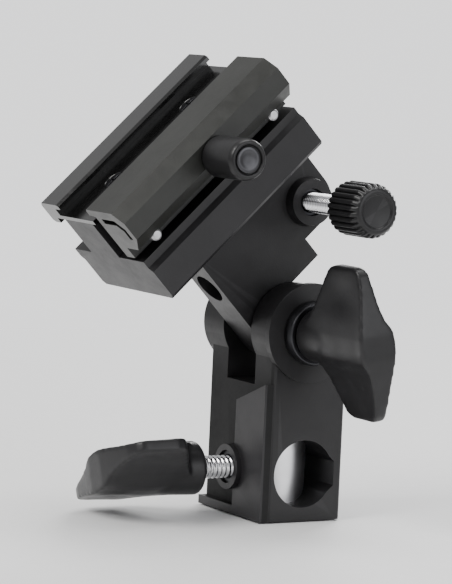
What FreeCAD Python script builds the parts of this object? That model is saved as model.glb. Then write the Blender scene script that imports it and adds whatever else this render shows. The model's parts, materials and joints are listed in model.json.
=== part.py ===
import FreeCAD, Part
import math
import os

# Umbrella swivel bracket for a 5/8 in light-stand spigot: a fork block that sits on the
# stand, and a tilting head with an umbrella bore and a shoe clamp.
# Bracket frame: origin at the centre of the socket mouth on the underside, +Z up along
# the socket, +X along the tilt axis towards the tilt handle, -Y towards the stand-lock
# handle. Millimetres and degrees.
# Head frame: origin on the tilt axis, X as above, Y along the umbrella shaft, +Z from
# the tilt axis towards the jaws. place_head() turns it into the bracket frame.

Vector = FreeCAD.Vector
ORIGIN = Vector(0, 0, 0)
X_AXIS = Vector(1, 0, 0)
Y_AXIS = Vector(0, 1, 0)
Z_AXIS = Vector(0, 0, 1)

GAP = 0.02              # assembly gap of pieces that stay together
RUN = 0.05              # running gap of pieces that turn or slide
BOLT_PLAY = 0.06        # radial play of the washers on the pivot bolt

# ------------------------------------------------- bracket frame dimensions
HALF_X = 32.0 / 2       # half width of the fork block
BLOCK_BACK_Y = 11.5
BLOCK_FRONT_Y = -10.2   # recessed front face
PANEL_Y = -12.2         # raised front panel face
PANEL_INSET = 0.2       # panel and rim edge, in from the side of the block
BLOCK_FILLET = 1.2
PIVOT_Z = 48.0          # height of the tilt axis
EAR_R = 12.0
EAR_BOSS_X = 17.0       # outer face of the round boss on the +X ear
EAR_BOSS_R = 12.6
SLOT_HALF = 7.0         # half width of the fork slot
SLOT_FLOOR_Z = 34.0

SOCKET_R = 8.1          # bore that takes the 16 mm stand spigot
LINER_R = 8.6
SOCKET_DEPTH = 29.0
WINDOW_Z = 12.0         # centre height of the side windows
WINDOW_R = 8.6

STAND_LOCK_Z = 12.0
STAND_SCREW_R = 3.0
STAND_SCREW_TIP_Y = -10.9   # shoulder at the inner end, without the neck
STAND_HANDLE_Y = -22.5      # inner face of the stand-lock handle hub
STAND_HANDLE_TURN = 24.0
LUG_R = 5.8                 # lug around the stand-lock screw
STAND_INSERT_R = 4.2

BOLT_R = 4.0                    # M8 pivot bolt
BOLT_HEAD_ACROSS = 13.0         # across the flats
BOLT_POCKET_X = -HALF_X + 4.2   # floor of the bolt head pocket
BOLT_END_X = 35.0               # start of the tapered tip
TILT_HANDLE_X = 19.8            # inner face of the tilt handle hub
TILT_HANDLE_TURN = 8.0
NUT_ACROSS = 9.0
NUT_SEAT_DEPTH = 7.0

HANDLE_LEN = 28.5       # wing handle, along its own axis
HANDLE_SPAN = 39.0      # tip to tip
HANDLE_HUB_R = 6.9

# ---------------------------------------------------- head frame dimensions
REST_TILT = 43.6        # head angle in the modelled position
TONGUE_HALF = 6.2       # half thickness of the tongue and plate
TONGUE_R = 8.2
PLATE_Y0, PLATE_Y1 = -TONGUE_R, 18.2
PLATE_Z0 = 8.6          # lower edge of the wide part of the plate
BUSH_R = 5.5

RAIL_Y0, RAIL_Y1 = -23.2, 32.8      # ends of the rail and jaws
RAIL_Z0, RAIL_Z1 = 34.8, 47.0
RAIL_X = 18.6
PLATE_TOP_Z = RAIL_Z0 + 1.0         # plate runs this far into the rail
CORE_Z1 = 58.2                      # top of the core under the shoe floor

UMB_Z = 21.2            # umbrella bore height over the tilt axis
UMB_R = 4.25            # umbrella bore radius for an 8 mm shaft
BOSS_Y = 24.8           # umbrella lock screw position along the bore
BOSS_Z = UMB_Z + 0.6    # centre of the rounded boss under the rail
BOSS_R = 7.5
BOSS_FACE_X = 9.0
UMB_INSERT_R = 3.5
UMB_SCREW_R = 2.6

JAW_Y = (RAIL_Y0 + RAIL_Y1) / 2
JAW_TOP = 63.6
MOVING_WEB_X = 10.2     # inner face of the moving jaw
FIXED_WEB_X = -11.4     # inner face of the fixed jaw
JAW_OUT_X = 24.3        # outer face of the moving jaw

PIN_R = 1.5
PIN_Z = 50.4
PIN_YS = (JAW_Y - 21.6, JAW_Y + 21.6)

CLAMP_Y = 6.6           # clamp screw, a little past the centre of the jaws
CLAMP_Z = 55.2
CLAMP_R = 2.0
CLAMP_INSERT_R = 2.7
CLIP_POCKET_R = 3.6

FLOOR_Z0 = CORE_Z1 + GAP
FLOOR_Z1 = CORE_Z1 + 1.3
FLOOR_SCREW_X = -3.0
FLOOR_SCREW_YS = (JAW_Y - 14.0, JAW_Y + 14.0)
FLOOR_SCREW_R = 1.25
SINK_DEPTH = 1.2        # countersink of the floor screws


# ------------------------------------------------------------------ helpers
def box(x_start, x_end, y_start, y_end, z_start, z_end):
    return Part.makeBox(x_end - x_start, y_end - y_start, z_end - z_start,
                        Vector(x_start, y_start, z_start))


def cyl_x(radius, start, end, y=0.0, z=0.0):
    return Part.makeCylinder(radius, end - start, Vector(start, y, z), X_AXIS)


def cyl_y(radius, start, end, x=0.0, z=0.0):
    return Part.makeCylinder(radius, end - start, Vector(x, start, z), Y_AXIS)


def cyl_z(radius, start, end, x=0.0, y=0.0):
    return Part.makeCylinder(radius, end - start, Vector(x, y, start), Z_AXIS)


def through_x(radius, y=0.0, z=0.0):
    """Cutter along X, long enough to pass through every piece it cuts."""
    return cyl_x(radius, -40, 40, y, z)


def cone_x(start_radius, end_radius, start, end, y=0.0, z=0.0):
    return Part.makeCone(start_radius, end_radius, end - start, Vector(start, y, z), X_AXIS)


def floor_screw_cone(bottom_radius, top_radius, height, y):
    """Countersink shape of a floor screw, from the bottom of the sink."""
    base = Vector(FLOOR_SCREW_X, y, FLOOR_Z1 - SINK_DEPTH)
    return Part.makeCone(bottom_radius, top_radius, height, base, Z_AXIS)


def closed_wire(points):
    return Part.makePolygon(points + [points[0]])


def prism_x(outline, start, end):
    """Closed polygon of (y, z) points swept along X."""
    face = Part.Face(closed_wire([Vector(start, y, z) for y, z in outline]))
    return face.extrude(Vector(end - start, 0, 0))


def prism_y(outline, start, end):
    """Closed polygon of (x, z) points swept along Y."""
    face = Part.Face(closed_wire([Vector(x, start, z) for x, z in outline]))
    return face.extrude(Vector(0, end - start, 0))


def hexagon_x(across, start, end, z=0.0):
    """Hexagonal prism along X with two corners on the vertical."""
    radius = across / math.sqrt(3.0)
    angles = [math.radians(60.0 * i + 30.0) for i in range(6)]
    outline = [(radius * math.cos(a), z + radius * math.sin(a)) for a in angles]
    return prism_x(outline, start, end)


def place_head(shape):
    shape.rotate(ORIGIN, X_AXIS, REST_TILT)
    shape.translate(Vector(0, 0, PIVOT_Z))
    return shape


def save(name, shape):
    shape = shape.removeSplitter()
    solids = shape.Solids
    shape = solids[0] if len(solids) == 1 else Part.makeCompound(solids)
    shape.exportStep("parts/" + name + ".step")


# ---------------------------------------------------------------- fork block
def make_base_body():
    body = box(-HALF_X, HALF_X, BLOCK_FRONT_Y, BLOCK_BACK_Y, 0.0, PIVOT_Z)
    upright = [e for e in body.Edges if abs(e.BoundBox.ZLength - PIVOT_Z) < 1e-6]
    body = body.makeFillet(BLOCK_FILLET, upright)
    body = body.fuse(cyl_x(EAR_R, -HALF_X, HALF_X, 0.0, PIVOT_Z))
    # raised front panel with a slanted top edge, on the +X half
    side_x = HALF_X - PANEL_INSET
    root_y = BLOCK_FRONT_Y + 1.0
    panel = [(1.6, 0.0), (side_x, 0.0), (side_x, 35.0), (1.6, 29.4)]
    body = body.fuse(prism_y(panel, PANEL_Y, root_y))
    # thin rim along the bottom of the recessed half
    body = body.fuse(box(-side_x, 2.0, PANEL_Y, root_y, 0.0, 2.2))
    # round bosses on the outside of both ears
    body = body.fuse(cyl_x(EAR_BOSS_R, HALF_X - 1.0, EAR_BOSS_X, 0.0, PIVOT_Z))
    body = body.fuse(cyl_x(EAR_BOSS_R - 0.6, -HALF_X - 1.4, -HALF_X + 1.0, 0.0, PIVOT_Z))
    # lug for the stand-lock screw
    body = body.fuse(cyl_y(LUG_R, -13.6, root_y, 0.0, STAND_LOCK_Z))
    # fork slot, then the liner seat
    body = body.cut(box(-SLOT_HALF, SLOT_HALF, -30, 30, SLOT_FLOOR_Z, 80))
    body = body.cut(cyl_z(LINER_R + GAP, -1.0, SOCKET_DEPTH))
    # side windows: round at the front, vee at the back ending in a flat
    vee = [(3.6, WINDOW_Z + 7.8), (9.0, WINDOW_Z + 2.9),
           (9.0, WINDOW_Z - 3.2), (3.6, WINDOW_Z - 7.8)]
    window = through_x(WINDOW_R, 0.0, WINDOW_Z).fuse(prism_x(vee, -40, 40))
    body = body.cut(window)
    # stand-lock insert seat
    body = body.cut(cyl_y(STAND_INSERT_R + GAP, -20.0, 0.0, 0.0, STAND_LOCK_Z))
    # pivot bore and hex pocket for the bolt head
    body = body.cut(through_x(BOLT_R + 0.08, 0.0, PIVOT_Z))
    return body.cut(hexagon_x(BOLT_HEAD_ACROSS + 0.1, -40, BOLT_POCKET_X, PIVOT_Z))


def make_socket_liner():
    tube = cyl_z(LINER_R, 0.0, SOCKET_DEPTH - 0.1).cut(cyl_z(SOCKET_R, -5, 60))
    return tube.cut(cyl_y(3.4, -20, 0, 0.0, STAND_LOCK_Z))


def make_stand_insert():
    insert = cyl_y(STAND_INSERT_R, -12.9, -8.75, 0.0, STAND_LOCK_Z)
    insert = insert.cut(cyl_y(STAND_SCREW_R + RUN, -30, 0, 0.0, STAND_LOCK_Z))
    # inner end follows the round of the liner
    return insert.cut(cyl_z(LINER_R + 0.03, -5, 60))


# --------------------------------------------------------------- tilt pivot
def make_pivot_bolt():
    head_x = -HALF_X - 0.9
    taper_x = -HALF_X + 2.1
    head = hexagon_x(BOLT_HEAD_ACROSS, head_x, BOLT_POCKET_X - GAP, PIVOT_Z)
    # cone that takes the corners off the outer face of the head
    envelope = cone_x(6.2, 9.2, head_x, taper_x, 0.0, PIVOT_Z).fuse(
        cyl_x(9.2, taper_x, -HALF_X + 5.0, 0.0, PIVOT_Z))
    head = head.common(envelope)
    shank = cyl_x(BOLT_R, -HALF_X + 4.0, BOLT_END_X, 0.0, PIVOT_Z)
    tip = cone_x(BOLT_R, BOLT_R - 0.8, BOLT_END_X, BOLT_END_X + 0.8, 0.0, PIVOT_Z)
    return head.fuse(shank).fuse(tip)


def make_friction_washers():
    """One washer on each side of the tongue, inside the fork slot."""
    inner = TONGUE_HALF + RUN
    outer = SLOT_HALF - RUN
    bore = through_x(BOLT_R + BOLT_PLAY, 0.0, PIVOT_Z)
    return Part.makeCompound([cyl_x(7.6, start, end, 0.0, PIVOT_Z).cut(bore)
                              for start, end in ((-outer, -inner), (inner, outer))])


def make_tilt_washer():
    """Tapered washer between the +X ear boss and the tilt handle."""
    washer = cyl_x(8.2, EAR_BOSS_X + RUN, TILT_HANDLE_X - RUN, 0.0, PIVOT_Z)
    washer = washer.common(cone_x(8.6, 7.6, EAR_BOSS_X, TILT_HANDLE_X, 0.0, PIVOT_Z))
    return washer.cut(through_x(BOLT_R + BOLT_PLAY, 0.0, PIVOT_Z))


# ------------------------------------------------------------- wing handles
def wing_section(z, x_inner, x_outer, thickness, y_mid):
    """Rectangle with chamfered corners, across the wing at height z."""
    chamfer = min(thickness * 0.32, 1.6)
    half = thickness / 2.0
    outline = [(x_inner + chamfer, -half), (x_outer - chamfer, -half),
               (x_outer, -half + chamfer), (x_outer, half - chamfer),
               (x_outer - chamfer, half), (x_inner + chamfer, half),
               (x_inner, half - chamfer), (x_inner, -half + chamfer)]
    return closed_wire([Vector(x, y + y_mid, z) for x, y in outline])


def wing_handle():
    """Wing handle along +X from 0 to HANDLE_LEN, wings along Z, thin along Y."""
    tip = HANDLE_SPAN / 2.0
    # z, inner x, outer x, thickness, y of the middle
    stations = [
        (0.0, 3.2, HANDLE_LEN, 12.4, 0.0),
        (6.0, 4.8, HANDLE_LEN - 0.5, 9.6, -0.4),
        (12.0, 8.2, HANDLE_LEN - 1.3, 6.6, -0.9),
        (tip - 1.6, 11.2, HANDLE_LEN - 2.5, 5.0, -1.2),
        (tip, 12.8, HANDLE_LEN - 3.9, 3.6, -1.3),
    ]
    # the -Z wing is the +Z wing turned half a turn about X
    opposite = [(-z, x_inner, x_outer, thickness, -y_mid)
                for z, x_inner, x_outer, thickness, y_mid in stations[:0:-1]]
    sections = [wing_section(*station) for station in opposite + stations]
    wing = Part.makeLoft(sections, True, True)
    hub = cyl_x(HANDLE_HUB_R, 0.0, 11.0).fuse(cone_x(HANDLE_HUB_R, 5.2, 11.0, 17.0))
    return wing.fuse(hub)


def place_tilt(shape):
    shape.rotate(ORIGIN, X_AXIS, TILT_HANDLE_TURN)
    shape.translate(Vector(TILT_HANDLE_X, 0, PIVOT_Z))
    return shape


def make_tilt_handle():
    # blind bore for the bolt end and hex seat for the nut
    handle = wing_handle().cut(cyl_x(BOLT_R + 0.35, -1.0, 21.0))
    return place_tilt(handle.cut(hexagon_x(NUT_ACROSS + 2 * GAP, -1.0, NUT_SEAT_DEPTH)))


def make_tilt_nut():
    nut = hexagon_x(NUT_ACROSS, 0.1, NUT_SEAT_DEPTH - GAP)
    return place_tilt(nut.cut(through_x(BOLT_R + RUN)))


def make_stand_handle():
    handle = wing_handle().cut(cyl_x(STAND_SCREW_R + GAP, -1.0, 19.0))
    handle.rotate(ORIGIN, X_AXIS, STAND_HANDLE_TURN + 90.0)
    # point the handle axis along -Y
    handle.rotate(ORIGIN, Z_AXIS, -90.0)
    handle.translate(Vector(0, STAND_HANDLE_Y, STAND_LOCK_Z))
    return handle


def make_stand_screw():
    tip = STAND_SCREW_TIP_Y
    shank = cyl_y(STAND_SCREW_R, STAND_HANDLE_Y - 18.8, tip, 0.0, STAND_LOCK_Z)
    return shank.fuse(cyl_y(1.2, tip - 0.1, tip + 1.2, 0.0, STAND_LOCK_Z))


def make_stand_pad():
    """Pad on the neck of the stand-lock screw."""
    pad = cyl_y(2.9, STAND_SCREW_TIP_Y + RUN, -8.35, 0.0, STAND_LOCK_Z)
    return pad.cut(cyl_y(1.25, -12.0, -9.6, 0.0, STAND_LOCK_Z))


# --------------------------------------------------- head body (head frame)
def make_head_body():
    half = TONGUE_HALF
    # tongue and plate
    head = cyl_x(TONGUE_R, -half, half)
    head = head.fuse(box(-half, half, PLATE_Y0, TONGUE_R, 0.0, PLATE_TOP_Z))
    head = head.fuse(box(-half, half, PLATE_Y0, PLATE_Y1, PLATE_Z0, PLATE_TOP_Z))
    # boss under the rail at the +Y end of the umbrella bore
    boss_y0 = PLATE_Y1 - 1.0
    head = head.fuse(box(-half, half, boss_y0, BOSS_Y + BOSS_R, BOSS_Z, PLATE_TOP_Z))
    head = head.fuse(box(-half, half, boss_y0, BOSS_Y, BOSS_Z - BOSS_R, PLATE_TOP_Z))
    head = head.fuse(cyl_x(BOSS_R, -half, half, BOSS_Y, BOSS_Z))
    # rail base, outline as (x, z)
    rail = [
        (-RAIL_X, RAIL_Z0 + 1.0), (-RAIL_X + 1.0, RAIL_Z0),
        (RAIL_X - 1.0, RAIL_Z0), (RAIL_X, RAIL_Z0 + 1.0),
        (RAIL_X, RAIL_Z1 - 3.2), (RAIL_X - 1.2, RAIL_Z1 - 2.0),
        (RAIL_X - 1.2, RAIL_Z1), (-RAIL_X - 1.0, RAIL_Z1),
        (-RAIL_X - 1.0, RAIL_Z1 - 2.6), (-RAIL_X, RAIL_Z1 - 3.6),
    ]
    head = head.fuse(prism_y(rail, RAIL_Y0, RAIL_Y1))
    # core that carries the shoe floor
    head = head.fuse(box(-10.4, 4.6, RAIL_Y0, RAIL_Y1, RAIL_Z1 - 1.0, CORE_Z1))
    # gusset between plate and rail, on the -X side only
    gusset = [(0.5 - half, 26.5), (-half - 7.0, RAIL_Z0 + 0.5), (0.5 - half, RAIL_Z0 + 0.5)]
    head = head.fuse(prism_y(gusset, JAW_Y - 1.2, JAW_Y + 1.2))
    # boss around the umbrella lock screw
    head = head.fuse(cone_x(6.6, 5.9, half - 1.0, BOSS_FACE_X, BOSS_Y, UMB_Z))
    # bush seat, umbrella bore, lock insert seat and guide pin holes
    head = head.cut(through_x(BUSH_R + GAP))
    head = head.cut(cyl_y(UMB_R, -60, 60, 0.0, UMB_Z))
    head = head.cut(cyl_x(UMB_INSERT_R + GAP, 0.0, 40, BOSS_Y, UMB_Z))
    for y in PIN_YS:
        head = head.cut(cyl_x(PIN_R + GAP, -8.6, 30, y, PIN_Z))
    # clamp insert seat from the -X flank, clearance bore from the +X flank
    head = head.cut(cyl_x(CLAMP_INSERT_R + GAP, -30, -2.6, CLAMP_Y, CLAMP_Z))
    head = head.cut(cyl_x(CLAMP_R + 0.3, -3.0, 30, CLAMP_Y, CLAMP_Z))
    # holes for the two shoe floor screws
    for y in FLOOR_SCREW_YS:
        head = head.cut(cyl_z(FLOOR_SCREW_R + GAP, CORE_Z1 - 6.2, CORE_Z1 + 2.0,
                              FLOOR_SCREW_X, y))
    # pockets in the underside of the rail, on both sides of the plate
    for x_start, x_end in ((-15.8, -8.2), (8.2, 15.8)):
        for y_start, y_end in ((RAIL_Y0 + 2.5, PLATE_Y0 - 2.0),
                               (PLATE_Y1 + 2.0, RAIL_Y1 - 2.5)):
            head = head.cut(box(x_start, x_end, y_start, y_end,
                                RAIL_Z0 - 1.0, RAIL_Z0 + 5.0))
    return head


def make_pivot_bush():
    return cyl_x(BUSH_R, -TONGUE_HALF, TONGUE_HALF).cut(through_x(BOLT_R + RUN))


# ----------------------------------------------- umbrella lock (head frame)
def make_umb_insert():
    insert = cyl_x(UMB_INSERT_R, 4.55, BOSS_FACE_X - 1.2, BOSS_Y, UMB_Z)
    return insert.cut(through_x(UMB_SCREW_R + RUN, BOSS_Y, UMB_Z))


def make_umb_screw():
    shank = cyl_x(UMB_SCREW_R, 6.1, 37.0, BOSS_Y, UMB_Z)
    return shank.fuse(cyl_x(1.0, 4.9, 6.2, BOSS_Y, UMB_Z))


def make_umb_pad():
    """Pad on the neck of the umbrella lock screw."""
    return cyl_x(2.5, 4.4, 6.05, BOSS_Y, UMB_Z).cut(cyl_x(1.05, 4.85, 8.0, BOSS_Y, UMB_Z))


def make_umb_knob():
    """Round knob with bevelled ends and grooves all round."""
    radius = 6.9
    start, end = 25.6, 39.4
    inner_bevel, outer_bevel = 0.9, 1.3
    groove_count, groove_r = 22, 0.55
    bevel_start, bevel_end = start + inner_bevel, end - outer_bevel
    envelope = cone_x(radius - inner_bevel, radius, start, bevel_start, BOSS_Y, UMB_Z)
    envelope = envelope.fuse(cyl_x(radius + 0.1, bevel_start, bevel_end, BOSS_Y, UMB_Z))
    envelope = envelope.fuse(
        cone_x(radius, radius - outer_bevel, bevel_end, end, BOSS_Y, UMB_Z))
    knob = cyl_x(radius, start, end, BOSS_Y, UMB_Z).common(envelope)
    grooves = []
    ring_r = radius + groove_r * 0.35
    for i in range(groove_count):
        angle = 2 * math.pi * i / groove_count
        grooves.append(cyl_x(groove_r, start - 1, end + 1, BOSS_Y + ring_r * math.cos(angle),
                             UMB_Z + ring_r * math.sin(angle)))
    knob = knob.cut(grooves[0].multiFuse(grooves[1:]))
    return knob.cut(cyl_x(UMB_SCREW_R + GAP, start - 1, start + 11.45, BOSS_Y, UMB_Z))


# -------------------------------------------------- shoe clamp (head frame)
def make_fixed_jaw():
    """Shoe floor and the -X jaw in one piece."""
    web = FIXED_WEB_X
    outline = [     # x, z
        (6.4, FLOOR_Z0), (6.4, FLOOR_Z1), (web, FLOOR_Z1), (web, FLOOR_Z1 + 2.1),
        (web + 3.0, FLOOR_Z1 + 2.2), (web + 3.0, JAW_TOP - 0.9),
        (web + 2.2, JAW_TOP - 0.4), (-17.4, JAW_TOP - 0.4), (-18.4, JAW_TOP - 1.4),
        (-18.4, FLOOR_Z0 - 0.9), (-17.4, FLOOR_Z0 - 1.6), (-14.6, FLOOR_Z0 - 1.6),
        (-14.6, FLOOR_Z0),
    ]
    jaw = prism_y(outline, RAIL_Y0, RAIL_Y1)
    for y in FLOOR_SCREW_YS:
        jaw = jaw.cut(cyl_z(1.5, FLOOR_Z0 - 2, FLOOR_Z1 + 3, FLOOR_SCREW_X, y))
        jaw = jaw.cut(floor_screw_cone(1.5, 2.8, SINK_DEPTH, y))
    return jaw


def make_fixed_jaw_screws():
    """Countersunk screws with a cross recess."""
    arm, half_width = 2.0, 0.35
    recess_z, above_z = FLOOR_Z1 - 0.55, FLOOR_Z1 + 1
    x = FLOOR_SCREW_X
    screws = []
    for y in FLOOR_SCREW_YS:
        screw = floor_screw_cone(1.45, 2.68, 1.15, y)
        screw = screw.fuse(cyl_z(FLOOR_SCREW_R, CORE_Z1 - 5.8, FLOOR_Z1 - 1.0, x, y))
        for reach_x, reach_y in ((half_width, arm), (arm, half_width)):
            screw = screw.cut(box(x - reach_x, x + reach_x, y - reach_y, y + reach_y,
                                  recess_z, above_z))
        screws.append(screw)
    return Part.makeCompound(screws)


def make_guide_pins():
    end = 19.2
    return Part.makeCompound([
        cyl_x(PIN_R, -8.5, end, y, PIN_Z).fuse(
            cone_x(PIN_R, PIN_R - 0.5, end, end + 0.5, y, PIN_Z))
        for y in PIN_YS])


def make_clamp_insert():
    insert = cyl_x(CLAMP_INSERT_R, -10.4, -2.65, CLAMP_Y, CLAMP_Z)
    return insert.cut(through_x(CLAMP_R + RUN, CLAMP_Y, CLAMP_Z))


def make_moving_jaw():
    web = MOVING_WEB_X
    # inner leg on the guide pins, then the overhanging outer body with its lower chamfer
    outline = [     # x, z
        (web, 48.0), (web, 61.4), (web - 2.9, 61.6), (web - 2.9, JAW_TOP - 0.6),
        (web - 2.3, JAW_TOP), (21.0, JAW_TOP), (JAW_OUT_X, JAW_TOP - 3.1),
        (JAW_OUT_X, 55.4), (20.2, 51.4), (14.4, 51.4), (14.4, 48.0),
    ]
    jaw = prism_y(outline, RAIL_Y0, RAIL_Y1)
    # bent pocket sunk into each end
    pocket = [      # x, z
        (12.8, 60.9), (19.3, 60.9), (22.0, 58.4), (22.0, 55.0),
        (20.6, 55.0), (20.6, 57.7), (18.7, 59.4), (12.8, 59.4),
    ]
    depth = 9.0
    for start, end in ((RAIL_Y0 - 1, RAIL_Y0 + depth), (RAIL_Y1 - depth, RAIL_Y1 + 1)):
        jaw = jaw.cut(prism_y(pocket, start, end))
    for y in PIN_YS:
        jaw = jaw.cut(through_x(PIN_R + RUN, y, PIN_Z))
    jaw = jaw.cut(through_x(CLAMP_R + RUN, CLAMP_Y, CLAMP_Z))
    # clip pocket on the inner face
    return jaw.cut(cyl_x(CLIP_POCKET_R, 0, web + 1.2, CLAMP_Y, CLAMP_Z))


def make_jaw_screw():
    # ring that cuts the groove for the retaining clip
    ring = cyl_x(3.0, MOVING_WEB_X + 0.25, MOVING_WEB_X + 1.05, CLAMP_Y, CLAMP_Z)
    ring = ring.cut(through_x(1.55, CLAMP_Y, CLAMP_Z))
    return cyl_x(CLAMP_R, -6.5, 34.8, CLAMP_Y, CLAMP_Z).cut(ring)


def make_jaw_clip():
    """Retaining ring, open towards +Z."""
    clip = cyl_x(3.3, MOVING_WEB_X + 0.3, MOVING_WEB_X + 1.0, CLAMP_Y, CLAMP_Z)
    clip = clip.cut(through_x(1.58, CLAMP_Y, CLAMP_Z))
    return clip.cut(box(0, 20, CLAMP_Y - 1.2, CLAMP_Y + 1.2, CLAMP_Z, CLAMP_Z + 6))


def make_jaw_knob():
    radius = 5.1
    start, end = JAW_OUT_X + RUN, 38.8
    bevel = end - 1.2
    knob = cyl_x(radius, start, bevel, CLAMP_Y, CLAMP_Z)
    knob = knob.fuse(cone_x(radius, 4.2, bevel, end, CLAMP_Y, CLAMP_Z))
    # shallow recess in the outer face, then the blind screw bore
    knob = knob.cut(cyl_x(3.6, end - 0.5, end + 1, CLAMP_Y, CLAMP_Z))
    return knob.cut(cyl_x(CLAMP_R + GAP, start - 1, 34.9, CLAMP_Y, CLAMP_Z))


# -------------------------------------------------------------------- write
BRACKET_PIECES = {
    "base_body": make_base_body,
    "socket_liner": make_socket_liner,
    "stand_lock_insert": make_stand_insert,
    "pivot_bolt": make_pivot_bolt,
    "friction_washers": make_friction_washers,
    "tilt_washer": make_tilt_washer,
    "tilt_handle": make_tilt_handle,
    "tilt_handle_nut": make_tilt_nut,
    "stand_lock_pad": make_stand_pad,
    "stand_lock_screw": make_stand_screw,
    "stand_lock_handle": make_stand_handle,
}
HEAD_PIECES = {
    "head_body": make_head_body,
    "pivot_bushing": make_pivot_bush,
    "umbrella_lock_insert": make_umb_insert,
    "fixed_jaw": make_fixed_jaw,
    "fixed_jaw_screws": make_fixed_jaw_screws,
    "guide_pins": make_guide_pins,
    "clamp_insert": make_clamp_insert,
    "umbrella_lock_pad": make_umb_pad,
    "umbrella_lock_screw": make_umb_screw,
    "umbrella_lock_knob": make_umb_knob,
    "moving_jaw": make_moving_jaw,
    "jaw_clamp_screw": make_jaw_screw,
    "jaw_screw_clip": make_jaw_clip,
    "jaw_clamp_knob": make_jaw_knob,
}

os.makedirs("parts", exist_ok=True)
for name, make in BRACKET_PIECES.items():
    save(name, make())
for name, make in HEAD_PIECES.items():
    save(name, place_head(make()))
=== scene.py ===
"""A tilting umbrella bracket: a fork body with a stand lock, and a head with an umbrella lock and jaws.

Metres, Z up. The tilt pivot runs along X, the stand lock points to the front (-Y) and the head
leans towards the front. Piece shapes are listed in millimetres and scaled by MM; turned pieces
lie along their own local X before they are placed.
"""
import json
import math

import bmesh
import bpy
import numpy as np
from mathutils import Matrix, Quaternion, Vector


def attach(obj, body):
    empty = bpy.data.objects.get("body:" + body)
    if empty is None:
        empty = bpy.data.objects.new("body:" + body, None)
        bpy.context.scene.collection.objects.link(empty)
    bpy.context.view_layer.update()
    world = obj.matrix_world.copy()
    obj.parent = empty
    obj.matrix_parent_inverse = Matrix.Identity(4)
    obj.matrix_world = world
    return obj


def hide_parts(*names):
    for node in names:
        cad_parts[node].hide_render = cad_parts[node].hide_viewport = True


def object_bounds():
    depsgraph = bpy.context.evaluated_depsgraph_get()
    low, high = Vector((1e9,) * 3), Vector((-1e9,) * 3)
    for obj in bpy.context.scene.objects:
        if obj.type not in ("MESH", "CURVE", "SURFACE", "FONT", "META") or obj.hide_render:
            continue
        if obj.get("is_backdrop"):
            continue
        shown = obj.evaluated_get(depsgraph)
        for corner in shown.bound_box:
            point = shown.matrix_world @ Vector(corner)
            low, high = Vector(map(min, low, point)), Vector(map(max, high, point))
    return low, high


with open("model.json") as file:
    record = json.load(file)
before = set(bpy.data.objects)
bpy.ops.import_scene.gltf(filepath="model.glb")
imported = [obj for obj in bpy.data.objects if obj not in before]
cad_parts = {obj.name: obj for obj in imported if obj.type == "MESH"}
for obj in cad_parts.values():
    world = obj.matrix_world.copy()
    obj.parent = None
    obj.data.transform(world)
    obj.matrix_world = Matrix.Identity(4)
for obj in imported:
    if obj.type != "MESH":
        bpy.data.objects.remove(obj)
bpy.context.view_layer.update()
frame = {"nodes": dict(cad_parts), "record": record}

SCENE = bpy.context.scene
NODES = frame["nodes"]
BODY = {node: body for body, nodes in frame["record"]["behaviour"]["bodies"].items()
        for node in nodes}

MM = 0.001


# ------------------------------------------------------------------ placement
def shift(x, y, z):
    return Matrix.Translation((x, y, z))


def turn(degrees, axis):
    return Matrix.Rotation(math.radians(degrees), 4, axis)


PIVOT_HEIGHT = 0.048
STAND_LOCK_HEIGHT = 0.012
HEAD = shift(0, 0, PIVOT_HEIGHT) @ turn(43.6, "X")
TILT_HANDLE = shift(0.0198, 0, PIVOT_HEIGHT) @ turn(8.0, "X")
STAND_SCREW = shift(0, -0.0109, STAND_LOCK_HEIGHT) @ turn(-90.0, "Z")
STAND_HANDLE = (shift(0, -0.0225, STAND_LOCK_HEIGHT) @ turn(-90.0, "Z")
                @ turn(24.0 + 90.0, "X"))
UMBRELLA_LOCK = HEAD @ shift(0, 24.8 * MM, 21.2 * MM)
JAW_CLAMP = HEAD @ shift(0, 6.6 * MM, 55.2 * MM)

# screw radii, shared with the holes of the knobs and handle that sit on them (mm)
UMBRELLA_SCREW_RADIUS = 2.58
STAND_SCREW_RADIUS = 2.97
JAW_SCREW_RADIUS = 1.98


# ------------------------------------------------------------- shader building
class Shader:
    """A material with a Principled surface. An input takes either a value or another socket."""

    def __init__(self, name):
        self.material = bpy.data.materials.new(name)
        self.material.use_nodes = True
        self.tree = self.material.node_tree
        self.tree.nodes.clear()
        self.output = self.node("ShaderNodeOutputMaterial")
        self.principled = self.node("ShaderNodeBsdfPrincipled")
        self.feed(self.output.inputs["Surface"], self.principled.outputs["BSDF"])

    def feed(self, target, value):
        if isinstance(value, bpy.types.NodeSocket):
            self.tree.links.new(value, target)
        else:
            target.default_value = value

    def set(self, node, **inputs):
        for key, value in inputs.items():
            self.feed(node.inputs[key.replace("_", " ")], value)

    def node(self, kind, **inputs):
        node = self.tree.nodes.new(kind)
        self.set(node, **inputs)
        return node

    def object_position(self):
        return self.node("ShaderNodeTexCoord").outputs["Object"]

    def math(self, operation, first, second):
        node = self.node("ShaderNodeMath")
        node.operation = operation
        self.feed(node.inputs[0], first)
        self.feed(node.inputs[1], second)
        return node.outputs[0]

    def ramp(self, factor, start, end, values=(0.0, 1.0)):
        """Grey ramp that runs between two values from position start to position end."""
        node = self.node("ShaderNodeValToRGB", Fac=factor)
        for stop, position, value in zip(node.color_ramp.elements, (start, end), values):
            stop.position = position
            stop.color = (value, value, value, 1)
        return node.outputs["Color"]

    def mix(self, factor, first, second):
        node = self.node("ShaderNodeMix")
        node.data_type = "RGBA"
        self.feed(node.inputs["Factor"], factor)
        for key, colour in (("A", first), ("B", second)):
            socket = next(s for s in node.inputs if s.name == key and s.type == "RGBA")
            self.feed(socket, colour)
        return next(s for s in node.outputs if s.type == "RGBA")


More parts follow.
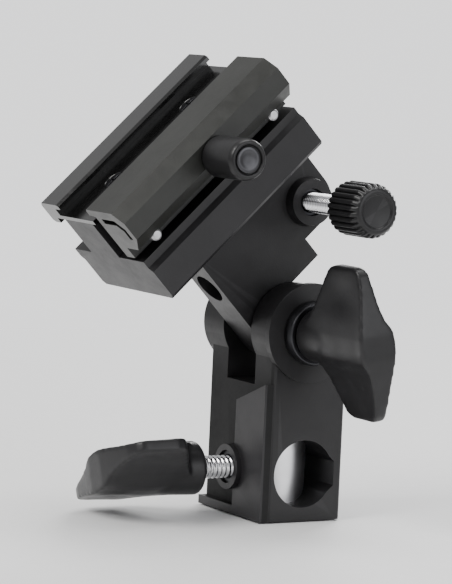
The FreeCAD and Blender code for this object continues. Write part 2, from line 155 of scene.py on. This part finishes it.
# ------------------------------------------------------------------- materials
def panel_masks(shader, position, raised_y, field_y):
    """Masks for the painted highlight on the raised front panel and for the painted shade and higher
    roughness of the field set back beside it.
    """
    axes = shader.node("ShaderNodeSeparateXYZ", Vector=position)
    raised = shader.math("LESS_THAN", axes.outputs["Y"], raised_y)
    front = shader.math("LESS_THAN", axes.outputs["Y"], field_y)
    field = shader.math("MULTIPLY", front, shader.math("SUBTRACT", 1.0, raised))
    # the painted highlight and the painted shade both end over the foot of the ears
    low = shader.node("ShaderNodeMapRange", Value=axes.outputs["Z"],
                      From_Min=0.034, From_Max=0.047, To_Min=1.0, To_Max=0.0)
    field = shader.math("MULTIPLY", field, low.outputs["Result"])
    panel_top = 0.036
    below_top = shader.math("LESS_THAN", axes.outputs["Z"], panel_top)
    return shader.math("MULTIPLY", raised, below_top), field


def moulded(name, base, roughness, scuff_and_highlight_amount, tint=(1, 1, 1), grain=2600.0, grain_depth=0.00003,
            coat=0.0, specular=0.36, panel=None):
    """Moulded plastic: spark texture, cloudy gloss, rubbed edges with a painted highlight, painted
    shade in recesses and faint handling marks.

    panel holds the two Y limits of the painted highlight and painted shade on the front panel, see
    panel_masks.
    """
    shader = Shader(name)
    position = shader.object_position()
    cloud = shader.node("ShaderNodeTexNoise", Vector=position,
                        Scale=70.0, Detail=4.0, Roughness=0.6).outputs["Fac"]
    fine = shader.node("ShaderNodeTexNoise", Vector=position,
                       Scale=grain, Detail=3.0, Roughness=0.55).outputs["Fac"]
    cell = shader.node("ShaderNodeTexVoronoi", Vector=position,
                       Scale=grain * 0.8).outputs["Distance"]
    smear = shader.node("ShaderNodeTexNoise", Vector=position,
                        Scale=260.0, Detail=5.0, Roughness=0.7).outputs["Fac"]

    def shade(gain, lift=0.0):
        return tuple(min(1, base * channel * gain + lift) for channel in tint) + (1,)

    colour = shader.mix(shader.ramp(cloud, start=0.32, end=0.70),
                        shade(gain=0.78), shade(gain=1.30, lift=0.001))
    # rubbed edges: real wear lowers their roughness, and their lighter colour is a painted highlight
    geometry = shader.node("ShaderNodeNewGeometry")
    edge = shader.ramp(geometry.outputs["Pointiness"], start=0.515, end=0.60)
    patches = shader.ramp(smear, start=0.30, end=0.72, values=(0.35, 1.0))
    scuff_edges_and_highlight = shader.math("MULTIPLY", edge, shader.math("MULTIPLY", patches, scuff_and_highlight_amount))
    # painted highlight: convex edges lightened to 3.2 times the base colour
    colour = shader.mix(scuff_edges_and_highlight, colour, shade(gain=3.2, lift=0.012))
    # painted shade: recesses are darkened by ambient occlusion
    occlusion = shader.node("ShaderNodeAmbientOcclusion", Distance=0.007)
    occlusion.samples = 6
    cavity_shade = shader.ramp(occlusion.outputs["AO"], start=0.35, end=0.95, values=(0.85, 0.0))
    colour = shader.mix(cavity_shade, colour, shade(gain=0.35))
    if panel:
        panel_highlight_amount, field_shade_amount = 0.55, 0.80  # how strongly the painted highlight and the painted shade cover the base colour
        raised, field = panel_masks(shader, position, *panel)
        # painted highlight: the raised front panel is lightened
        colour = shader.mix(shader.math("MULTIPLY", raised, panel_highlight_amount),
                            colour, shade(gain=2.2))
        # painted shade: the field set back beside the panel is darkened
        colour = shader.mix(shader.math("MULTIPLY", field, field_shade_amount),
                            colour, shade(gain=0.15))

    # roughness: raised by smears and the panel field, lowered on rubbed edges
    smear_rise, smear_offset, rubbed_drop, field_rise = 0.12, 0.05, 0.08, 0.28
    rough = shader.math("MULTIPLY", shader.ramp(smear, start=0.35, end=0.75), smear_rise)
    rough = shader.math("ADD", rough, roughness - smear_offset)
    rough = shader.math("SUBTRACT", rough, shader.math("MULTIPLY", scuff_edges_and_highlight, rubbed_drop))
    if panel:
        rough = shader.math("ADD", rough, shader.math("MULTIPLY", field, field_rise))

    # height: grain, then shallow sink waves
    fine_height, cell_height = 0.6, 0.5
    height = shader.math("ADD", shader.math("MULTIPLY", fine, fine_height),
                         shader.math("MULTIPLY", cell, cell_height))
    grain_bump = shader.node("ShaderNodeBump", Height=height,
                             Strength=0.55, Distance=grain_depth)
    wave_bump = shader.node("ShaderNodeBump", Height=cloud, Normal=grain_bump.outputs["Normal"],
                            Strength=0.30, Distance=0.00012)
    shader.set(shader.principled, Base_Color=colour, Roughness=rough,
               Normal=wave_bump.outputs["Normal"], Specular_IOR_Level=specular,
               Coat_Weight=coat, Coat_Roughness=0.12)
    return shader.material


def metal(name, colour, roughness, patina, brush=0.0, axis=0, spots=0.0):
    """Plated or turned metal: machining lines squeezed along axis, tone drift and small pits."""
    shader = Shader(name)
    position = shader.object_position()
    squeeze = [1.0, 1.0, 1.0]
    if brush:
        squeeze[axis] = 14.0
    mapping = shader.node("ShaderNodeMapping", Vector=position, Scale=squeeze)
    lines = shader.node("ShaderNodeTexNoise", Vector=mapping.outputs["Vector"],
                        Scale=420.0, Detail=4.0, Roughness=0.65).outputs["Fac"]
    drift = shader.node("ShaderNodeTexNoise", Vector=position,
                        Scale=150.0, Detail=3.0, Roughness=0.5).outputs["Fac"]
    pits = shader.node("ShaderNodeTexVoronoi", Vector=position, Scale=900.0)

    # patina darkens the colour much more than it lightens it
    darkening, lightening = 2.2, 0.3
    dark = tuple(c * (1 - patina * darkening) for c in colour) + (1,)
    light = tuple(min(1, c * (1 + patina * lightening)) for c in colour) + (1,)
    tone = shader.mix(shader.ramp(drift, start=0.30, end=0.62), dark, light)

    line_rise, brushed_line_rise = 0.10, 0.25
    rough = shader.math("MULTIPLY", lines, line_rise + brush * brushed_line_rise)
    rough = shader.math("ADD", rough, roughness)
    pit = shader.ramp(pits.outputs["Distance"], start=0.02, end=0.12, values=(1.0, 0.0))
    rough = shader.math("ADD", rough, shader.math("MULTIPLY", pit, spots))
    bump = shader.node("ShaderNodeBump", Height=lines,
                       Strength=0.15 + brush * 0.5, Distance=0.00001)
    shader.set(shader.principled, Base_Color=tone, Metallic=1.0, Roughness=rough,
               Normal=bump.outputs["Normal"])
    return shader.material


MATERIALS = {
    "body": moulded("abs_body", base=0.0110, roughness=0.42, scuff_and_highlight_amount=0.45,
                    tint=(1.02, 0.97, 1.06), panel=(-0.0116, -0.0098)),
    "head": moulded("abs_head", base=0.0125, roughness=0.43, scuff_and_highlight_amount=0.45, tint=(1.02, 0.97, 1.06)),
    "handle": moulded("abs_handle", base=0.0115, roughness=0.36, scuff_and_highlight_amount=0.5,
                      tint=(1.0, 0.97, 1.05), grain=2200.0),
    "jaw": moulded("abs_jaw", base=0.0150, roughness=0.36, scuff_and_highlight_amount=0.6,
                   tint=(1.0, 1.03, 0.92), grain=3000.0),
    "gloss": moulded("gloss_rail", base=0.0050, roughness=0.18, scuff_and_highlight_amount=0.12,
                     grain=1500.0, grain_depth=0.000006, coat=0.5),
    "knob": moulded("abs_knob", base=0.0100, roughness=0.33, scuff_and_highlight_amount=0.7,
                    tint=(1.0, 0.98, 1.05), grain=2400.0),
    "chrome": metal("bright_chrome", colour=(0.86, 0.86, 0.88), roughness=0.06, patina=0.05),
    "steel": metal("zinc_steel", colour=(0.62, 0.62, 0.63), roughness=0.26, patina=0.15,
                   brush=0.5, spots=0.15),
    "liner": metal("plated_liner", colour=(0.88, 0.88, 0.90), roughness=0.26, patina=0.06,
                   brush=0.25, axis=2),
    "brass": metal("turned_brass", colour=(0.74, 0.55, 0.27), roughness=0.22, patina=0.18,
                   brush=0.3, axis=1, spots=0.1),
    "cap": metal("satin_cap", colour=(0.075, 0.075, 0.080), roughness=0.26, patina=0.10,
                 brush=0.2),
    "oxide": metal("black_oxide", colour=(0.055, 0.055, 0.060), roughness=0.30, patina=0.12,
                   brush=0.2),
    "fibre": moulded("fibre_washer", base=0.16, roughness=0.75, scuff_and_highlight_amount=0.2,
                     tint=(1.25, 0.85, 0.6), grain=1800.0, grain_depth=0.00008, specular=0.25),
    "nylon": moulded("nylon_bush", base=0.62, roughness=0.45, scuff_and_highlight_amount=0.1, tint=(1.03, 1.0, 0.93)),
}


# ---------------------------------------------------------------- mesh helpers
def clamp01(value):
    return min(1.0, max(0.0, value))


def link_object(name, data):
    made = bpy.data.objects.new(name, data)
    SCENE.collection.objects.link(made)
    return made


def add_piece(name, mesh, material, node, smooth_deg, weighted=False, replaces=True):
    """Puts a finished mesh in the scene and ties it to the CAD node it stands for."""
    piece = link_object(name, mesh)
    mesh.materials.clear()  # also resets face material indices taken over from the CAD mesh
    mesh.materials.append(MATERIALS[material])
    mesh.polygons.foreach_set("use_smooth", [True] * len(mesh.polygons))
    mesh.set_sharp_from_angle(angle=math.radians(smooth_deg))
    if weighted:
        normals = piece.modifiers.new("normals", "WEIGHTED_NORMAL")
        normals.keep_sharp = True
        normals.weight = 60
    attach(piece, BODY[node])
    if replaces:
        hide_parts(node)
    return piece


def mesh_from(verts, faces, name, matrix=Matrix()):
    mesh = bpy.data.meshes.new(name)
    mesh.from_pydata([tuple(matrix @ Vector(v)) for v in verts], [], faces)
    bm = bmesh.new()
    bm.from_mesh(mesh)
    bmesh.ops.recalc_face_normals(bm, faces=bm.faces)
    bm.to_mesh(mesh)
    bm.free()
    mesh.validate()
    return mesh


def ring_bands(rings, count):
    """Quads joining successive closed rings of count vertices."""
    faces = []
    for i in range(rings - 1):
        for k in range(count):
            a, b = i * count + k, i * count + (k + 1) % count
            faces.append((a, b, b + count, a + count))
    return faces


def last_ring(rings, count):
    return tuple((rings - 1) * count + k for k in range(count))


def lathe(profile, count, radial=None):
    """Capped turned shape about X from (x, r) in mm; radial(x, r, angle) may bend the radius."""
    verts = []
    for x, r in profile:
        for k in range(count):
            angle = 2 * math.pi * k / count
            radius = radial(x, r, angle) if radial else r
            verts.append((x * MM, radius * math.cos(angle) * MM, radius * math.sin(angle) * MM))
    caps = [tuple(range(count))[::-1], last_ring(len(profile), count)]
    return verts, ring_bands(len(profile), count) + caps


def rounded(profile, radius, steps):
    """Rounds the inner points of an open (x, r) profile with quadratic curves."""
    result = [profile[0]]
    for i in range(1, len(profile) - 1):
        before, corner, after = (Vector(profile[j]) for j in (i - 1, i, i + 1))
        back, ahead = before - corner, after - corner
        reach = min(radius, back.length * 0.45, ahead.length * 0.45)
        start = corner + back.normalized() * reach
        end = corner + ahead.normalized() * reach
        for step in range(steps + 1):
            t = step / steps
            point = (1 - t) ** 2 * start + 2 * t * (1 - t) * corner + t * t * end
            result.append((point.x, point.y))
    result.append(profile[-1])
    return result


# ---------------------------------------------- CAD pieces with rounded edges
MERGE_DISTANCE = 2e-6
FLAT_ANGLE = math.radians(0.8)
SHARP_ANGLE = math.radians(28.0)
SHORTEST_EDGE = 1e-5

# CAD node, material, edge rounding (mm), segments across the rounding
SOFTENED = [
    ("base_body", "body", 0.45, 3),
    ("head_body", "head", 0.42, 3),
    ("fixed_jaw", "gloss", 0.30, 3),
    ("moving_jaw", "jaw", 0.45, 3),
    ("socket_liner", "liner", 0.12, 2),
    ("pivot_bolt", "steel", 0.25, 3),
    ("tilt_washer", "oxide", 0.25, 3),
    ("stand_lock_insert", "oxide", 0.18, 2),
    ("umbrella_lock_insert", "oxide", 0.15, 2),
    ("fixed_jaw_screws", "oxide", 0.08, 2),
    ("guide_pins", "steel", 0.15, 3),
]


def soften(node, material, width, segments):
    """A new piece after a CAD node: welded, flat faces rejoined, sharp edges rounded."""
    bm = bmesh.new()
    bm.from_mesh(NODES[node].data)
    bmesh.ops.remove_doubles(bm, verts=bm.verts, dist=MERGE_DISTANCE)
    bmesh.ops.dissolve_limit(bm, angle_limit=FLAT_ANGLE, verts=bm.verts, edges=bm.edges,
                             use_dissolve_boundaries=False)
    sharp = [edge for edge in bm.edges
             if len(edge.link_faces) == 2 and edge.calc_face_angle(0.0) > SHARP_ANGLE
             and edge.calc_length() > SHORTEST_EDGE]
    bmesh.ops.bevel(bm, geom=sharp, offset=width * MM, offset_type="OFFSET", segments=segments,
                    profile=0.5, affect="EDGES", clamp_overlap=True, miter_outer="SHARP",
                    miter_inner="SHARP", loop_slide=True)
    bmesh.ops.remove_doubles(bm, verts=bm.verts, dist=MERGE_DISTANCE / 2)
    mesh = bpy.data.meshes.new(node + "_mesh")
    bm.to_mesh(mesh)
    bm.free()
    add_piece(node + "_finished", mesh, material, node, smooth_deg=34.0, weighted=True)


# ---------------------------------------------------------------- wing handles
# Local axes in mm: x out along the hub, y through the wings, z across their span.
WING_HALF_SPAN = 19.4
# x, half span
WING_OUTLINE = [
    (3.0, 4.8), (4.8, 6.0), (6.4, 8.4), (8.2, 11.8), (10.0, 15.4), (11.6, 18.0), (13.2, 19.1),
    (14.6, WING_HALF_SPAN), (23.0, WING_HALF_SPAN), (24.4, 19.0), (25.6, 17.6), (26.6, 14.6),
    (27.3, 10.6), (28.0, 6.4), (28.5, 3.0),
]
# z, y of the -y face; the +y face is the same line turned half round the x axis
WING_FACE = [
    (-19.5, -0.3), (-15.0, -1.0), (-10.0, -2.0), (-6.5, -3.2), (-5.0, -4.4), (-3.6, -5.5),
    (-1.5, -6.0), (2.0, -6.1), (6.0, -5.4), (10.0, -4.5), (15.0, -3.6), (19.5, -2.9),
]
# x of each cross-section
WING_STATIONS = [
    3.0, 3.9, 4.8, 5.6, 6.4, 7.3, 8.2, 9.1, 10.0, 10.8, 11.6, 12.4, 13.2, 14.6, 16.2, 17.9,
    19.6, 21.3, 23.0, 23.7, 24.4, 25.0, 25.6, 26.1, 26.6, 27.0, 27.3, 27.7, 28.0, 28.3, 28.5,
]
FACE_POINTS = 40  # points across each face of a cross-section
# x, r of the hub before its corners are rounded
HUB_PROFILE = [(0.0, 0.01), (0.0, 6.5), (0.5, 6.9), (9.5, 6.6), (13.0, 6.0), (17.0, 4.6),
               (19.5, 2.0), (20.0, 0.01)]


def along(table, x):
    return float(np.interp(x, *zip(*table)))


def thumb_dish(x, z):
    """Depth of the shallow dish on each wing."""
    depth = 0.55
    centre_x, centre_z = 18.5, 12.0
    spread_x, spread_z = 5.6, 4.5
    return (depth * math.exp(-((abs(z) - centre_z) / spread_z) ** 2)
            * math.exp(-((x - centre_x) / spread_x) ** 2))


def wing_blank(name):
    """Both wings as one lofted solid, overlapping the round hub."""
    thinning, thin_start, thin_length = 0.16, 14.0, 12.0  # wings thin towards the outer rim
    verts = []
    for x in WING_STATIONS:
        half_span = along(WING_OUTLINE, x)
        thickness = 1.0 - thinning * clamp01((x - thin_start) / thin_length)
        for side in (1, -1):
            for i in range(FACE_POINTS):
                z = side * (half_span - 2 * half_span * i / (FACE_POINTS - 1))
                y = side * (along(WING_FACE, side * z) * thickness + thumb_dish(x, z))
                verts.append((x * MM, y * MM, z * MM))
    rings, count = len(WING_STATIONS), 2 * FACE_POINTS
    faces = ring_bands(rings, count) + [tuple(range(count)), last_ring(rings, count)]
    hub_verts, hub_faces = lathe(rounded(HUB_PROFILE, radius=0.5, steps=3), 56)
    hub_start = len(verts)
    faces += [tuple(i + hub_start for i in face) for face in hub_faces]
    return mesh_from(verts + hub_verts, faces, name)


def wing_handle(name, matrix, node, bore_radius, bore_depth):
    """Wings and hub melted into one moulding, then bored along the hub."""
    blank = link_object(name + "_raw", wing_blank(name + "_raw"))
    melt = blank.modifiers.new("melt", "REMESH")
    melt.mode = "VOXEL"
    melt.voxel_size = 0.42 * MM
    flow = blank.modifiers.new("flow", "SMOOTH")
    flow.factor = 0.5
    flow.iterations = 12
    cutter_mesh = mesh_from(*lathe([(-2.0, bore_radius), (bore_depth, bore_radius)], 48),
                            name + "_cut")
    cutter = link_object(name + "_cut", cutter_mesh)
    bore = blank.modifiers.new("bore", "BOOLEAN")
    bore.operation = "DIFFERENCE"
    bore.object = cutter
    bore.solver = "EXACT"
    depsgraph = bpy.context.evaluated_depsgraph_get()
    mesh = bpy.data.meshes.new_from_object(blank.evaluated_get(depsgraph))
    bpy.data.objects.remove(blank)
    bpy.data.objects.remove(cutter)
    mesh.transform(matrix)
    add_piece(name, mesh, "handle", node, smooth_deg=42.0)


# ------------------------------------------------------------ knobs and screws
def umbrella_knob():
    """Thumb knob with grooves round its rim."""
    start, end, rim = 25.6, 39.4, 6.85
    ribs, groove_depth = 26, 0.62
    row_spacing = 0.6
    profile = rounded([
        (start, UMBRELLA_SCREW_RADIUS + 0.04), (start, 5.2), (start + 0.4, 5.9),
        (start + 1.3, rim), (end - 1.9, rim), (end - 0.5, 5.9), (end, 5.3), (end, 4.4),
        (end - 0.5, 4.0), (end - 0.6, 0.05),
    ], radius=0.45, steps=4)
    rows = []
    for (xa, ra), (xb, rb) in zip(profile, profile[1:]):
        steps = max(1, int(abs(xb - xa) / row_spacing))
        for step in range(steps):
            t = step / steps
            rows.append((xa + (xb - xa) * t, ra + (rb - ra) * t))
    rows.append(profile[-1])

    def grooved(x, r, angle):
        groove = (1.0 - abs(math.sin(angle * ribs / 2.0))) ** 1.6
        fade = clamp01((r - 5.6) / 1.1)  # the grooves run out towards the end faces
        return r - groove_depth * groove * fade

    mesh = mesh_from(*lathe(rows, ribs * 8, grooved), "umbrella_knob_mesh", UMBRELLA_LOCK)
    add_piece("umbrella_thumb_knob", mesh, "knob", "umbrella_lock_knob", smooth_deg=50.0)


def threaded(start, end, radius, pitch, depth, plain_from, count=40, rows_per_turn=8):
    """Screw shank about X with a helical thread up to plain_from and a tapered start."""
    crest, flank = 0.15, 0.7  # share of the half pitch taken by the crest and by the flank
    taper_length, taper_share = 0.9, 0.9
    rows = int((end - start) / pitch * rows_per_turn)
    profile = [(start + (end - start) * i / rows, radius) for i in range(rows + 1)]

    def thread(x, r, angle):
        phase = (x / pitch - angle / (2 * math.pi)) % 1.0
        height = abs(phase - 0.5) * 2.0
        cut = 0.0 if x > plain_from else depth * clamp01((height - crest) / flank)
        entry = clamp01((x - start) / taper_length)
        return r - cut - (1 - entry) * depth * taper_share

    return lathe(profile, count, thread)


# piece, mesh name, CAD node, placement, shank dimensions in mm
SHANKS = [
    ("umbrella_lock_shank", "umb_shank", "umbrella_lock_screw", UMBRELLA_LOCK,
     dict(start=4.9, end=36.0, radius=UMBRELLA_SCREW_RADIUS, pitch=0.8, depth=0.34,
          plain_from=23.0)),
    ("stand_lock_shank", "stand_shank", "stand_lock_screw", STAND_SCREW,
     dict(start=0.0, end=30.0, radius=STAND_SCREW_RADIUS, pitch=1.25, depth=0.42,
          plain_from=18.0)),
    ("jaw_clamp_shank", "jaw_shank", "jaw_clamp_screw", JAW_CLAMP,
     dict(start=-6.4, end=34.4, radius=JAW_SCREW_RADIUS, pitch=0.7, depth=0.30,
          plain_from=9.2, count=32, rows_per_turn=7)),
]


def screw_shanks():
    for name, mesh_name, node, matrix, dimensions in SHANKS:
        mesh = mesh_from(*threaded(**dimensions), mesh_name, matrix)
        add_piece(name, mesh, "chrome", node, smooth_deg=60.0)


def jaw_knob():
    """Smooth barrel knob with a riveted screw end set into its outer face."""
    start, end, barrel = 24.35, 38.8, 5.1
    profile = rounded([
        (start, JAW_SCREW_RADIUS + 0.12), (start, 4.7), (start + 0.5, barrel),
        (start + 5.0, barrel), (end - 1.3, barrel), (end - 0.35, 4.75), (end, 4.35),
        (end - 0.05, 3.75), (end - 0.7, 3.6), (end - 0.75, 0.05),
    ], radius=0.4, steps=5)
    mesh = mesh_from(*lathe(profile, 96), "jaw_knob_mesh", JAW_CLAMP)
    add_piece("jaw_clamp_barrel", mesh, "knob", "jaw_clamp_knob", smooth_deg=40.0)

    profile = rounded([
        (end - 1.1, 3.3), (end - 0.55, 3.35), (end - 0.25, 3.1), (end - 0.12, 2.5),
        (end - 0.35, 1.7), (end - 0.42, 0.9), (end - 0.42, 0.02),
    ], radius=0.3, steps=4)
    mesh = mesh_from(*lathe(profile, 72), "jaw_rivet", JAW_CLAMP)
    add_piece("jaw_clamp_rivet_face", mesh, "cap", "jaw_clamp_knob", smooth_deg=40.0,
              replaces=False)


# -------------------------------------------------- CAD pieces shown unchanged
UNCHANGED = {
    "friction_washers": "fibre",
    "pivot_bushing": "nylon",
    "tilt_handle_nut": "brass",
    "stand_lock_pad": "brass",
    "clamp_insert": "brass",
    "umbrella_lock_pad": "brass",
    "jaw_screw_clip": "steel",
}


def colour_unchanged():
    for node, material in UNCHANGED.items():
        for slot in NODES[node].material_slots:
            slot.material = MATERIALS[material]


# ---------------------------------------------------------------------- studio
def floor_material():
    """Pale paper that fades to clear between 0.15 m and 0.525 m from the centre."""
    shader = Shader("studio_floor")
    position = shader.object_position()
    distance = shader.node("ShaderNodeVectorMath")
    distance.operation = "LENGTH"
    shader.feed(distance.inputs[0], position)
    ramp_per_metre = 0.4
    scaled = shader.math("MULTIPLY", distance.outputs["Value"], ramp_per_metre)
    fade = shader.ramp(scaled, start=0.060, end=0.210)
    paper = shader.node("ShaderNodeTexNoise", Vector=position, Scale=300.0, Detail=4.0)
    colour = shader.mix(paper.outputs["Fac"], (0.80, 0.80, 0.80, 1), (0.84, 0.84, 0.84, 1))
    shader.set(shader.principled, Base_Color=colour, Roughness=0.7)
    clear = shader.node("ShaderNodeBsdfTransparent")
    blend = shader.node("ShaderNodeMixShader", Fac=fade)
    shader.feed(blend.inputs[1], shader.principled.outputs["BSDF"])
    shader.feed(blend.inputs[2], clear.outputs["BSDF"])
    shader.feed(shader.output.inputs["Surface"], blend.outputs["Shader"])
    return shader.material


def studio_floor():
    """Flat disc of rings lying just under the bracket."""
    radii = (0.0001, 0.2, 0.5, 1.0, 1.6, 2.4)
    count = 64
    material = floor_material()
    verts = []
    for radius in radii:
        for k in range(count):
            angle = 2 * math.pi * k / count
            verts.append((radius * math.cos(angle), radius * math.sin(angle), 0.0))
    mesh = bpy.data.meshes.new("floor")
    mesh.from_pydata(verts, [], ring_bands(len(radii), count))
    mesh.materials.append(material)
    floor = link_object("floor", mesh)
    floor.location = (0, 0, -0.0004)
    floor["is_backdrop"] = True


def studio_world():
    """Even grey light; the backdrop the camera sees is paler than the light it gives off."""
    light_strength, camera_extra = 0.62, 1.15
    world = bpy.data.worlds.new("studio")
    SCENE.world = world
    world.use_nodes = True
    tree = world.node_tree
    background = tree.nodes["Background"]
    background.inputs["Color"].default_value = (0.88, 0.882, 0.89, 1)
    light_path = tree.nodes.new("ShaderNodeLightPath")
    strength = tree.nodes.new("ShaderNodeMath")
    strength.operation = "MULTIPLY_ADD"
    tree.links.new(light_path.outputs["Is Camera Ray"], strength.inputs[0])
    strength.inputs[1].default_value = camera_extra
    strength.inputs[2].default_value = light_strength
    tree.links.new(strength.outputs[0], background.inputs["Strength"])


def look_along(direction):
    return direction.to_track_quat("-Z", "Y")


LIGHT_TARGET = Vector((0.01, 0.0, 0.06))
# name, location, size (m), power (W), colour
LIGHTS = [
    ("key", (0.10, -0.75, 0.70), 0.55, 8.2, (1.0, 0.99, 0.97)),
    ("fill", (0.85, 0.25, 0.35), 0.70, 3.2, (0.97, 0.98, 1.0)),
    ("top", (0.0, 0.15, 0.95), 0.60, 5.0, (1, 1, 1)),
    ("rim", (-0.55, 0.55, 0.45), 0.35, 4.0, (1, 1, 1)),
]


def studio_lights():
    for name, location, size, power, colour in LIGHTS:
        data = bpy.data.lights.new(name, "AREA")
        data.energy = power
        data.size = size
        data.color = colour
        light = link_object(name, data)
        light.location = location
        light.rotation_euler = look_along(LIGHT_TARGET - Vector(location)).to_euler()


def studio_camera():
    """Long lens aimed at the middle of the bracket, rolled slightly."""
    data = bpy.data.cameras.new("camera")
    data.sensor_width = 36.0
    data.lens = 182.46575
    data.clip_start = 0.01
    data.clip_end = 50.0
    camera = link_object("camera", data)
    SCENE.camera = camera
    camera.location = (0.6486, -0.3885, 0.1258)
    low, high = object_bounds()
    aim = look_along((low + high) / 2 - camera.location)
    roll = Quaternion((0, 0, 1), math.radians(2.6))
    camera.rotation_mode = "QUATERNION"
    camera.rotation_quaternion = aim @ roll


# ----------------------------------------------------------------------- build
for entry in SOFTENED:
    soften(*entry)
wing_handle("tilt_wing_handle", TILT_HANDLE, "tilt_handle", bore_radius=4.35, bore_depth=21.0)
wing_handle("stand_wing_handle", STAND_HANDLE, "stand_lock_handle",
            bore_radius=STAND_SCREW_RADIUS + 0.05, bore_depth=19.0)
umbrella_knob()
screw_shanks()
jaw_knob()
colour_unchanged()
studio_floor()
studio_world()
studio_lights()
studio_camera()
